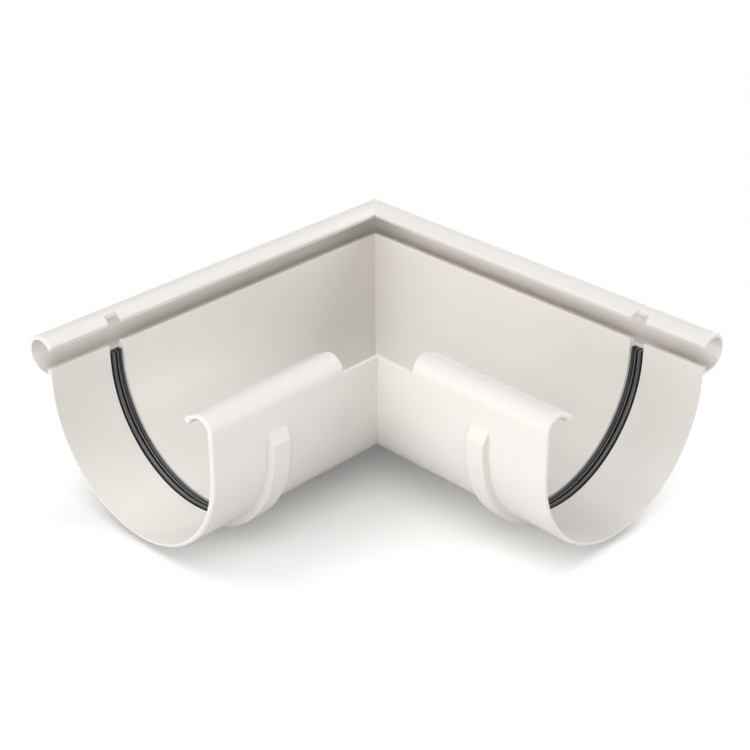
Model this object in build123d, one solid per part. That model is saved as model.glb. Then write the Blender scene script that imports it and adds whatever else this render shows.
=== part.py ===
"""External angle for a half-round gutter: two arms mitred at 90 degrees, with a rubber seal at each mouth.

Millimetres, +Z up. One arm runs along +X and the other along -Y. The beaded front walls are on the outside
of the corner. The origin is below the middle of the plan, on the floor that the seal bands rest on.
"""
from build123d import *
import os
from math import acos, cos, degrees, radians, sin, sqrt

# the gutter section, seen from the mouth: u runs from the front wall (-) to the back wall (+)
outer_radius = 65.0
wall = 2.1
front_wall_rise = 9.2
back_wall_rise = 22.8

# the open bead along the front edge; its tip face leans, and the front wall inside it is thicker at its foot
bead_radius = 11.1
bead_offset = 5.4
bead_rise = 14.7
bead_tip_lean = 66.0
bead_tip_apex = 5.0
bead_root_fillet = 1.0
front_wall_flare = 1.5

# the curl and the sloping lip along the back edge; a ramp under the lip thickens it towards its bead
curl_radius = 8.4
lip_slope = 28.0
lip_length = 7.6
lip_bead_radius = 2.2
lip_ramp_length = 5.0

# the arms
arm_length = 176.8
curl_length = 87.3
mouth_rounding = 1.6
edge_rounding = 0.25

# the band round each mouth that holds the seal, and the groove inside it; the band lies a little nearer to the
# mouth than its groove, and its face leans that way too
groove_middle = 42.3
band_depth = 4.0
band_foot_width = 12.4
band_face_width = 10.8
band_lead = 0.55
band_lean = 0.35
ramp_top = 9.7
ramp_foot = 3.7
groove_mouth_width = 9.1
groove_floor_width = 7.4

# the rubber seal: each lip has its place across the base, its width and its height; a fine square hollow
# runs in the base
seal_fit = 0.1
seal_base = 2.5
seal_front_drop = 5.4
seal_lips = {"wide": (2.45, 2.5, 2.0), "narrow": (-0.15, 0.9, 2.0), "side": (-2.7, 2.0, 0.7)}
seal_lip_chamfer = 0.25
seal_hollow_place = 0.9
seal_hollow_size = 1.0

# places that follow from the sizes above
inner_radius = outer_radius - wall
band_radius = outer_radius + band_depth
groove_radius = band_radius - wall
axis_height = band_radius
bead_u = -outer_radius - bead_offset
bead_z = axis_height + bead_rise
bead_floor = bead_z - bead_radius
bead_reach = bead_radius - bead_u
front_top = axis_height + front_wall_rise
back_top = axis_height + back_wall_rise
curl_u = outer_radius - curl_radius
curl_start = arm_length - curl_length
groove_station = arm_length - groove_middle
plan_middle = (arm_length - bead_reach) / 2
overcut = 1.0
beyond = 2 * band_radius


def rectangle(u0, u1, z0, z1):
    """A rectangle of the section between two places across and two heights."""
    return Pos((u0 + u1) / 2, (z0 + z1) / 2) * Rectangle(u1 - u0, z1 - z0)


def sector(u, z, radius, start, sweep):
    """A pie slice of the section, from start degrees through sweep degrees."""
    rim = Pos(u, z) * CenterArc((0, 0), radius, start, sweep)
    return make_face([rim, Line(rim @ 1, (u, z)), Line((u, z), rim @ 0)])


def rounded(section, u, z, radius):
    """The section with its corner nearest to a place rounded."""
    corner = section.vertices().sort_by_distance((u, z, 0))[0]
    return fillet(corner, radius)


def channel():
    """The half-round channel with its two upright walls."""
    outside = Pos(0, axis_height) * Circle(outer_radius)
    outside += rectangle(-outer_radius, 0, axis_height, front_top)
    outside += rectangle(0, outer_radius, axis_height, back_top)
    hollow = Pos(0, axis_height) * Circle(inner_radius)
    hollow += rectangle(-inner_radius, inner_radius, axis_height, axis_height + beyond)
    above_front = rectangle(-beyond, 0, front_top, axis_height + beyond)
    return outside - hollow - above_front


def front_bead():
    """The C-shaped bead: its flat floor joins the front wall, which flares towards that floor."""
    tube = Pos(bead_u, bead_z) * (Circle(bead_radius) - Circle(bead_radius - wall))
    slot = sector(bead_u, bead_z, beyond, -90, 90) + sector(bead_u + bead_tip_apex, bead_z, beyond, 0, bead_tip_lean)
    floor = rectangle(bead_u, -inner_radius, bead_floor, bead_floor + wall)
    flare = [(-outer_radius, front_top), (-outer_radius - front_wall_flare, bead_floor + wall)]
    flare += [(-outer_radius, bead_floor + wall / 2)]
    return tube - slot + floor + make_face(Polyline(*flare, close=True))


def bead_tip(radius):
    """Where the bead's leaning tip face meets one of its radii."""
    lean = radians(bead_tip_lean)
    along = sqrt(radius**2 - (bead_tip_apex * sin(lean)) ** 2) - bead_tip_apex * cos(lean)
    return bead_u + bead_tip_apex + along * cos(lean), bead_z + along * sin(lean)


def plain_section():
    """The section near the corner: channel and bead, with the back wall's edge left plain."""
    section = channel() + front_bead()
    for u in (outer_radius, inner_radius):
        section = rounded(section, -u, front_top, edge_rounding)
    section = rounded(section, -outer_radius - front_wall_flare, bead_floor + wall, bead_root_fillet)
    return section


def back_curl():
    """The curl over the back wall, then the sloping lip with a round bead along its edge."""
    slope = radians(lip_slope)
    ring = Pos(curl_u, back_top) * (Circle(curl_radius) - Circle(curl_radius - wall))
    curl = ring & sector(curl_u, back_top, beyond, 0, 90 + lip_slope)
    lip = Pos(-lip_length / 2, curl_radius - wall / 2) * Rectangle(lip_length, wall)
    edge = Pos(-lip_length, curl_radius - lip_bead_radius) * Circle(lip_bead_radius)
    return curl + Pos(curl_u, back_top) * Rot(0, 0, lip_slope) * (lip + edge)


def lip_ramp():
    """The ramp under the lip, from the lip's bead to where it runs out into the curl, its mouth edge rounded."""
    middle = Pos(-lip_length, curl_radius - lip_bead_radius)
    end = Vector(lip_ramp_length, lip_bead_radius - wall)
    turn = degrees(acos(lip_bead_radius / end.length))
    touch = end.normalized().rotate(Axis.Z, -turn) * lip_bead_radius
    on_lip = Pos(curl_u, back_top) * Rot(0, 0, lip_slope) * middle
    profile = on_lip * make_face(Polyline((0, 0), touch, end, end + (0, wall / 2), close=True))
    ramp = along_arm(profile, curl_start, arm_length)
    under = (on_lip * Pos((touch + end) / 2)).position
    edge = ramp.edges().sort_by_distance((arm_length, -under.X, under.Y))[0]
    return fillet(edge, mouth_rounding)


def along_arm(section, start, end):
    """A solid of the section between two stations of the arm that runs along +X."""
    across = Plane(origin=(start, 0, 0), x_dir=(0, -1, 0), z_dir=(-1, 0, 0))
    return extrude(across * section, start - end)


def round_channel(profile, front_end, back_end):
    """A profile of axial place and radius, led down the back wall, round the bottom and up the front wall."""
    middle = (groove_station, 0, axis_height)
    at_back = Plane(origin=middle, x_dir=(1, 0, 0), z_dir=(0, 0, -1)) * profile
    at_front = Plane(origin=middle, x_dir=(1, 0, 0), z_dir=(0, 0, 1)) * profile
    bottom = revolve(at_back, Axis(middle, (1, 0, 0)), 180)
    return bottom + extrude(at_back, -back_end) + extrude(at_front, front_end)


def trapezium(inside, outside, inside_width, outside_width, lean=0):
    """A profile between two radii, with a width at each, and the outside led towards the mouth by the lean."""
    corners = [(-inside_width / 2, inside), (inside_width / 2, inside)]
    corners += [(lean + outside_width / 2, outside), (lean - outside_width / 2, outside)]
    return make_face(Polyline(*corners, close=True))


def beyond_ramp(inward):
    """What lies outside and above the sloping end of the band on the back wall, moved inward by a distance."""
    rise = Vector(-band_depth, ramp_top - ramp_foot).normalized()
    foot = Vector(band_radius, axis_height + ramp_foot) + Vector(-rise.Y, rise.X) * inward
    low = foot - rise * 3 * band_depth
    high = foot + rise * 5 * band_depth
    wedge = make_face(Polyline((low.X, low.Y), (high.X, high.Y), (low.X, high.Y), close=True))
    return along_arm(wedge, groove_station - band_foot_width, groove_station + band_foot_width)


def seal_band():
    """The raised band outside the channel, from the ramp on the back wall to the bead's floor."""
    profile = trapezium(outer_radius, band_radius, band_foot_width, band_face_width, band_lean)
    profile += trapezium(outer_radius - wall / 2, outer_radius, band_foot_width, band_foot_width)
    band = round_channel(Pos(band_lead, 0) * profile, bead_floor + wall / 2 - axis_height, ramp_top)
    return band - beyond_ramp(0)


def groove_width(radius):
    """The groove's width at a radius: it narrows towards its floor."""
    share = (radius - inner_radius) / (groove_radius - inner_radius)
    return groove_mouth_width + share * (groove_floor_width - groove_mouth_width)


def seal_groove():
    """The groove inside the band, which runs out through the top edge of the front wall."""
    mouth = inner_radius - overcut
    profile = trapezium(mouth, groove_radius, groove_width(mouth), groove_floor_width)
    groove = round_channel(profile, front_wall_rise + overcut, ramp_top)
    return groove - beyond_ramp(wall)


def lip_notch():
    """The notch in the bead's lip: the groove's own profile led up through it, so that the seal can be laid in."""
    mouth = inner_radius - bead_radius
    profile = trapezium(mouth, groove_radius, groove_width(mouth), groove_floor_width)
    foot = Plane(origin=(groove_station, 0, bead_z), x_dir=(1, 0, 0), z_dir=(0, 0, 1))
    return extrude(foot * profile, bead_radius + overcut)


def rounded_mouth(arm):
    """The arm with the mouth's outer edges rounded, round the channel, the curl and the bead, then the bead's tip."""
    rim = arm.edges().filter_by_position(Axis.X, arm_length, arm_length).filter_by(GeomType.CIRCLE)
    outer = [edge for edge in rim if edge.radius in (outer_radius, bead_radius)]
    arm = fillet(outer, mouth_rounding)
    tip_u, tip_z = bead_tip(bead_radius)
    tip = arm.edges().filter_by(Axis.X).sort_by_distance((curl_start, -tip_u, tip_z))[0]
    return fillet(tip, edge_rounding)


def gutter_arm():
    """The arm along +X, from the mitre to its mouth."""
    plain = plain_section()
    near_corner = plain
    for u in (outer_radius, inner_radius):
        near_corner = rounded(near_corner, u, back_top, edge_rounding)
    arm = along_arm(near_corner, -bead_reach - overcut, curl_start)
    arm += along_arm(plain + back_curl(), curl_start, arm_length)
    return rounded_mouth(arm) + lip_ramp()


def trim_at_mitre(arm):
    """The arm cut off at the mitre plane, which halves the corner."""
    return split(arm, Plane(origin=(0, 0, 0), z_dir=(1, 1, 0)), keep=Keep.TOP)


def angle_body():
    """The whole moulding: one arm, and the same arm mirrored in the mitre plane."""
    arm = gutter_arm() + seal_band() - seal_groove() - lip_notch()
    arm = trim_at_mitre(arm)
    return arm + mirror(arm, Plane(origin=(0, 0, 0), z_dir=(1, 1, 0)))


def seal():
    """The rubber seal in the groove of the arm along +X: a base with three lips and a fine hollow."""
    outside = groove_radius - seal_fit
    inside = outside - seal_base
    profile = trapezium(inside, outside, groove_width(inside) - 2 * seal_fit, groove_width(outside) - 2 * seal_fit)
    for place, width, height in seal_lips.values():
        shoulder = inside - height + seal_lip_chamfer
        lip = trapezium(inside - height, shoulder, width - 2 * seal_lip_chamfer, width)
        profile += Pos(place, 0) * (lip + trapezium(shoulder, inside, width, width))
    profile -= Pos(seal_hollow_place, inside + seal_base / 2) * Rectangle(seal_hollow_size, seal_hollow_size)
    return round_channel(profile, front_wall_rise - seal_front_drop, ramp_foot - wall / 2)


def placed(solid):
    """The solid moved so that the plan's middle is over the origin."""
    return Pos(-plan_middle, plan_middle, 0) * solid


if __name__ == "__main__":
    os.makedirs("parts", exist_ok=True)
    right = seal()
    left = mirror(right, Plane(origin=(0, 0, 0), z_dir=(1, 1, 0)))
    pieces = {"angle_body": angle_body(), "seal_right": right, "seal_left": left}
    for name, solid in pieces.items():
        export_step(placed(solid), f"parts/{name}.step")
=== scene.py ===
"""The looks of an external angle for a half-round gutter. Metres, +Z up, at the real size."""

from math import cos, radians, sin

import bpy
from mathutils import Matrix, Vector


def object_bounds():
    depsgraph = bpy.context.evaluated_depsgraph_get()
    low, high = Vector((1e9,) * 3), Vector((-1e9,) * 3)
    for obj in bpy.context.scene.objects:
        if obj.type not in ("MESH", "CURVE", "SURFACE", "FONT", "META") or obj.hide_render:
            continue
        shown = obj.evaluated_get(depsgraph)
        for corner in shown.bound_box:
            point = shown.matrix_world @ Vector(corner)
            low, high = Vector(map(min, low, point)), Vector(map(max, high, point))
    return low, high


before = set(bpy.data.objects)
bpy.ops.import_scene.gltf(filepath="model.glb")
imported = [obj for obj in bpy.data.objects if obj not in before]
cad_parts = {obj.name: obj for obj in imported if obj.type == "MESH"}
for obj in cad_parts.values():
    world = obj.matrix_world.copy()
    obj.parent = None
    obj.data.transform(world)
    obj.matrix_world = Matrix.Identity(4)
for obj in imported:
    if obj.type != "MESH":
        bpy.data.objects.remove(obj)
cad_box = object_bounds()
scene = bpy.context.scene

# The view. The angle lies with its inner corner towards the lens, seen from above at the height that shows
# into both arms at once, with a long lens so that the arms taper little.
corner_place = Vector((-0.04765, 0.04765, 0.004))
lens_from_corner = Vector((0.6009, -0.6103, 0.5044))
lens_tilt = 29.207
lens_turn = 44.6
film_width = 36.0
focal_length = 81.8

lens = bpy.data.cameras.new("camera")
lens.sensor_width = film_width
lens.lens = focal_length
camera = bpy.data.objects.new("camera", lens)
camera.location = lens_from_corner + corner_place
camera.rotation_euler = (radians(90 - lens_tilt), 0, radians(lens_turn))
scene.collection.objects.link(camera)
scene.camera = camera


# The moulding. Both arms, the bead, the curls and the bands are one piece of white PVC-U, moulded in a
# polished tool. The surface is smooth and faintly glossy, with the slight orange peel and the soft flow
# clouds of a moulded part.
class Shade:
    """A socket in a material's tree, so that shader maths is written as ordinary arithmetic."""

    def __init__(self, tree, socket=None):
        self.tree = tree
        self.socket = socket

    def node(self, kind, settings, inputs, output=0):
        """Adds a node: its settings first, then the values or links of its sockets."""
        made = self.tree.nodes.new(kind)
        for name, value in settings.items():
            setattr(made, name, value)
        for name, value in inputs.items():
            if isinstance(value, Shade):
                self.tree.links.new(value.socket, made.inputs[name])
            else:
                made.inputs[name].default_value = value
        return Shade(self.tree, None if output is None else made.outputs[output])

    def maths(self, operation, *values):
        """A Math node of any operation on one to three values."""
        return self.node("ShaderNodeMath", {"operation": operation}, dict(enumerate(values)))

    def __add__(self, other):
        return self.maths("ADD", self, other)

    def __mul__(self, other):
        return self.maths("MULTIPLY", self, other)

    def __sub__(self, other):
        return self.maths("SUBTRACT", self, other)

    def __rsub__(self, other):
        return self.maths("SUBTRACT", other, self)

    __radd__ = __add__
    __rmul__ = __mul__

    def place(self):
        """The point's place in the object."""
        return self.node("ShaderNodeTexCoord", {}, {}, "Object")

    def noise(self, size, detail=2.0):
        """Noise between 0 and 1 with features of about that size in metres."""
        inputs = {"Vector": self.place(), "Scale": 1 / size, "Detail": detail}
        return self.node("ShaderNodeTexNoise", {}, inputs, "Fac")

    def bump(self, relief, distance):
        """The surface's normal over a relief, whose heights are multiplied by a distance."""
        return self.node("ShaderNodeBump", {}, {"Height": relief, "Distance": distance})

    def blend(self, amount, first, second):
        """A colour between two colours."""
        return self.node("ShaderNodeMix", {"data_type": "RGBA"}, {0: amount, 6: first, 7: second}, 2)


def surface(name, **constants):
    """A new material with a principled shader, its constants set, and a Shade to write its tree with."""
    material = bpy.data.materials.new(name)
    material.use_nodes = True
    shader = material.node_tree.nodes["Principled BSDF"]
    for socket, value in constants.items():
        shader.inputs[socket.replace("_", " ")].default_value = value
    return material, shader, Shade(material.node_tree)


def connect(shader, **links):
    """Links varying values to the shader's sockets."""
    for socket, value in links.items():
        value.tree.links.new(value.socket, shader.inputs[socket.replace("_", " ")])


def finish_node(node, material):
    """Gives a moulded or extruded piece its material."""
    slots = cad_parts[node].data.materials
    slots.clear()
    slots.append(material)


pvc_warm = (0.720, 0.692, 0.659, 1)
pvc_pale = (0.738, 0.710, 0.677, 1)
cloud_size = 0.08
cloud_share = 0.8
fleck_size = 0.0016
peel_size = 0.0022
peel_height = 0.000012
pvc_roughness = 0.2
cloud_roughness = 0.06

pvc, pvc_shader, pvc_tree = surface("white_pvc", IOR=1.53, Specular_IOR_Level=0.15)
clouds = pvc_tree.noise(cloud_size)
flecks = pvc_tree.noise(fleck_size)
tint = clouds * cloud_share + flecks * (1 - cloud_share)
connect(
    pvc_shader,
    Base_Color=pvc_tree.blend(tint, pvc_warm, pvc_pale),
    Roughness=pvc_roughness + clouds * cloud_roughness,
    Normal=pvc_tree.bump(pvc_tree.noise(peel_size), peel_height),
)
finish_node("angle_body", pvc)

# The seals. Each is a strip of black EPDM rubber, extruded with three lips on a flat base and pressed into
# the groove near the mouth. It is satin with a faint pale dust, and the lips' rounded crowns are painted
# paler as a painted highlight.
rubber_black = (0.014, 0.014, 0.015, 1)
# the pale colour serves both the dust and the painted highlight on the lips' crowns
rubber_dust_and_highlight = (0.17, 0.17, 0.174, 1)
dust_size = 0.004
dust_rubbed = 0.03
dust_roughness = 0.08
rubber_roughness = 0.3
grain_size = 0.0007
grain_height = 0.00002
# the relief is in metres, so nothing scales it
relief_scale = 1.0
# each lip has its middle from the seal's middle, its half width, and how much painted highlight its crown
# gets
lips = {
    "wide": (0.00245, 0.00125, 0.4),
    "narrow": (-0.00015, 0.00045, 1.0),
    "side": (-0.0027, 0.001, 0.05),
}
# a crown's height in half widths of its lip
crown_rise = 0.5
# the seal's middle lies this far along either arm from the middle of the angle
seal_sides = [corner[0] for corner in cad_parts["seal_right"].bound_box]
seal_reach = (min(seal_sides) + max(seal_sides)) / 2

rubber, rubber_shader, rubber_tree = surface("black_rubber", IOR=1.52)
dust = rubber_tree.noise(dust_size)
seal_place = rubber_tree.place()
along_x = rubber_tree.node("ShaderNodeSeparateXYZ", {}, {"Vector": seal_place}, "X")
along_y = rubber_tree.node("ShaderNodeSeparateXYZ", {}, {"Vector": seal_place}, "Y")
reach = rubber_tree.maths("MAXIMUM", along_x, along_y * -1)
relief = rubber_tree.noise(grain_size) * grain_height
# paler with dust at random, and on each lip's crown with a painted highlight
dust_and_highlight = dust * dust_rubbed
for middle, half_width, crown_highlight in lips.values():
    off = (reach - (seal_reach + middle)) * (1 / half_width)
    crown = rubber_tree.maths("MAXIMUM", 1 - off * off, 0.0)
    relief = relief + crown * (crown_rise * half_width)
    dust_and_highlight = dust_and_highlight + crown * crown_highlight
connect(
    rubber_shader,
    Base_Color=rubber_tree.blend(dust_and_highlight, rubber_black, rubber_dust_and_highlight),
    Roughness=rubber_roughness + dust * dust_roughness,
    Normal=rubber_tree.bump(relief, relief_scale),
)
for seal in ("seal_right", "seal_left"):
    finish_node(seal, rubber)

# The studio. A pale floor lies under the angle and keeps its soft shadow, and farther out the lens sees it
# white. Eight wide, weak lamps stand round the angle at one distance, under an even pale sky.
floor_size = 6.0
floor_bounce = (0.55, 0.55, 0.55, 1)
floor_seen = (1.14, 1.14, 1.14, 1)
white_from = 0.18
white_at = 0.3
white_strength = 1.0
sky_strength = 0.3
lamp_distance = 2.3
lamp_size = 1.4
# each lamp has its turn from +X and its height, both in degrees, and its power
lamps = {
    "back_right": (90, 35, 23.4),
    "high_front": (-45, 63, 7.8),
    "high_left": (-135, 63, 10.2),
    "high_back": (135, 63, 5.1),
    "low_front": (-45, 10, 24.3),
    "low_right": (25, 10, 15.6),
    "low_side": (-90, 10, 20.6),
    "low_left": (-115, 10, 11.1),
}


def backdrop_rays(tree):
    """1 for the lens's own rays and for those that glossy or clear pieces send on, and 0 for others."""
    kinds = ("Is Camera Ray", "Is Glossy Ray", "Is Transmission Ray")
    direct, glossy, clear = (tree.node("ShaderNodeLightPath", {}, {}, kind) for kind in kinds)
    return direct + glossy + clear


bpy.ops.mesh.primitive_plane_add(size=floor_size, location=(0, 0, cad_box[0][2]))
floor = bpy.context.object
floor.name = "floor"
floor_material = bpy.data.materials.new("floor")
floor_material.use_nodes = True
floor_material.node_tree.nodes.clear()
tile = Shade(floor_material.node_tree)
seen = backdrop_rays(tile)
matt = tile.node("ShaderNodeBsdfDiffuse", {}, {"Color": tile.blend(seen, floor_bounce, floor_seen)})
white = tile.node("ShaderNodeEmission", {}, {"Strength": white_strength})
from_middle = tile.node("ShaderNodeVectorMath", {"operation": "LENGTH"}, {0: tile.place()}, "Value")
fade_range = {"Value": from_middle, "From Min": white_from, "From Max": white_at}
fade = tile.node("ShaderNodeMapRange", {"interpolation_type": "SMOOTHSTEP"}, fade_range)
shown = tile.node("ShaderNodeMixShader", {}, {0: fade * seen, 1: matt, 2: white})
tile.node("ShaderNodeOutputMaterial", {}, {"Surface": shown}, None)
floor.data.materials.append(floor_material)

world = bpy.data.worlds.new("studio")
world.use_nodes = True
scene.world = world
sky = world.node_tree.nodes["Background"]
sky.inputs["Color"].default_value = (1, 1, 1, 1)
air = Shade(world.node_tree)
connect(sky, Strength=air.maths("MINIMUM", sky_strength + backdrop_rays(air), white_strength))

for name, (turn, height, power) in lamps.items():
    light = bpy.data.lights.new(name, "AREA")
    light.shape = "DISK"
    light.size = lamp_size
    light.energy = power
    across = lamp_distance * cos(radians(height))
    lamp = bpy.data.objects.new(name, light)
    lamp.location = (
        across * cos(radians(turn)),
        across * sin(radians(turn)),
        lamp_distance * sin(radians(height)),
    )
    lamp.rotation_euler = lamp.location.to_track_quat("Z", "Y").to_euler()
    scene.collection.objects.link(lamp)

scene.view_settings.view_transform = "Standard"
